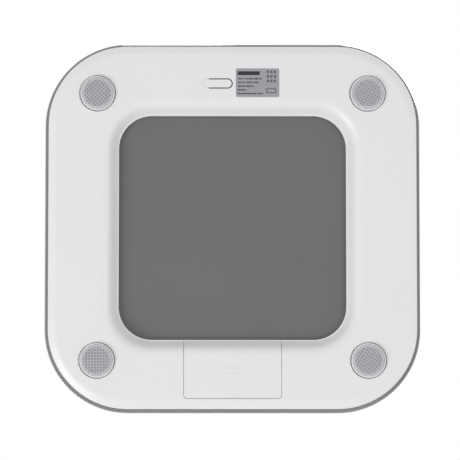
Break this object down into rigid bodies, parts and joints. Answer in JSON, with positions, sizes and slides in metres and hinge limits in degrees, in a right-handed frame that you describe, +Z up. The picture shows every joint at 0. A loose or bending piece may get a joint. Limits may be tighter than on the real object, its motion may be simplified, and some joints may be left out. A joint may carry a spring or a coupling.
{
  "type": "digital bathroom scale",
  "caption": "Digital bathroom scale: rounded square glass platform on a hollow plastic tray with a window, load cell feet, a unit button and a sliding battery cover.",
  "frame": {"origin": "on the ground under the middle of the platform", "axes": "+Z up, +Y towards the display side, +X to the right of a person who stands on the scale and faces the display"},
  "size_m": [0.3, 0.296, 0.0232],
  "materials": {
    "clear_glass": "tempered, polished edge",
    "grey_print": "screen-printed grey",
    "foam_tape": "closed-cell foam",
    "white_plastic": "moulded, semi-gloss",
    "label_foil": "printed foil",
    "circuit_board": "solder mask",
    "steel": "zinc plated",
    "black_resin": "cured resin",
    "black_plastic": "moulded",
    "button_plastic": "moulded",
    "display_glass": "polarised",
    "frame_plastic": "moulded",
    "grey_rubber": "moulded, gridded",
    "cell_jacket": "printed sleeve",
    "nickel": "nickel plated",
    "black_wire": "PVC insulation",
    "red_wire": "PVC insulation",
    "tape": "polymer tape",
    "potting": "silicone"
  },
  "bodies": {
    "platform": {"glass_plate": "clear_glass", "back_print": "grey_print", "foam_tape_outer": "foam_tape", "foam_tape_inner": "foam_tape", "tray": "white_plastic", "rating_label": "label_foil", "main_board": "circuit_board", "board_screws": "steel", "controller_blob": "black_resin", "small_components": "black_resin", "switch_body": "black_plastic", "lcd_glass": "display_glass", "lcd_frame": "frame_plastic", "contact_strips": "grey_rubber", "battery_cell_1": "cell_jacket", "battery_cell_2": "cell_jacket", "battery_springs": "nickel", "battery_contact_link": "nickel", "battery_contact_negative": "nickel", "battery_contact_positive": "nickel", "battery_lead_negative": "black_wire", "battery_lead_positive": "red_wire", "wire_tape": "tape", "load_cell_display_left": "steel", "load_cell_bracket_display_left": "frame_plastic", "gauge_potting_display_left": "potting", "load_cell_wires_display_left": "red_wire", "load_cell_display_right": "steel", "load_cell_bracket_display_right": "frame_plastic", "gauge_potting_display_right": "potting", "load_cell_wires_display_right": "red_wire", "load_cell_battery_left": "steel", "load_cell_bracket_battery_left": "frame_plastic", "gauge_potting_battery_left": "potting", "load_cell_wires_battery_left": "red_wire", "load_cell_battery_right": "steel", "load_cell_bracket_battery_right": "frame_plastic", "gauge_potting_battery_right": "potting", "load_cell_wires_battery_right": "red_wire"},
    "battery_cover": {"battery_cover": "white_plastic"},
    "unit_button": {"unit_button": "white_plastic"},
    "switch_plunger": {"switch_plunger": "button_plastic"},
    "foot_display_left": {"foot_cup_display_left": "white_plastic", "foot_pad_display_left": "grey_rubber"},
    "foot_display_right": {"foot_cup_display_right": "white_plastic", "foot_pad_display_right": "grey_rubber"},
    "foot_battery_left": {"foot_cup_battery_left": "white_plastic", "foot_pad_battery_left": "grey_rubber"},
    "foot_battery_right": {"foot_cup_battery_right": "white_plastic", "foot_pad_battery_right": "grey_rubber"}
  },
  "joints": [
    {"name": "battery_cover_slide", "type": "slide", "parent": "platform", "child": "battery_cover", "axis": [0, 1, 0], "range_m": [0, 0.048]},
    {"name": "unit_button_press", "type": "hinge", "parent": "platform", "child": "unit_button", "pos_m": [0.0225, 0.1147, 0.0043], "axis": [0, 1, 0], "range_deg": [0, 2.2], "stiffness_Nm_per_rad": 1.2},
    {"name": "switch_plunger_travel", "type": "slide", "parent": "platform", "child": "switch_plunger", "axis": [0, 0, 1], "range_m": [0, 0.00025]},
    {"name": "foot_load_display_left", "type": "slide", "parent": "platform", "child": "foot_display_left", "axis": [0, 0, 1], "range_m": [0, 0.0005], "stiffness_N_per_m": 60000, "deforming": ["load_cell_display_left"]},
    {"name": "foot_load_display_right", "type": "slide", "parent": "platform", "child": "foot_display_right", "axis": [0, 0, 1], "range_m": [0, 0.0005], "stiffness_N_per_m": 60000, "deforming": ["load_cell_display_right"]},
    {"name": "foot_load_battery_left", "type": "slide", "parent": "platform", "child": "foot_battery_left", "axis": [0, 0, 1], "range_m": [0, 0.0005], "stiffness_N_per_m": 60000, "deforming": ["load_cell_battery_left"]},
    {"name": "foot_load_battery_right", "type": "slide", "parent": "platform", "child": "foot_battery_right", "axis": [0, 0, 1], "range_m": [0, 0.0005], "stiffness_N_per_m": 60000, "deforming": ["load_cell_battery_right"]}
  ],
  "couplings": [
    {"joint": "switch_plunger_travel", "follows": "unit_button_press", "m_per_rad": 0.0065108}
  ]
}
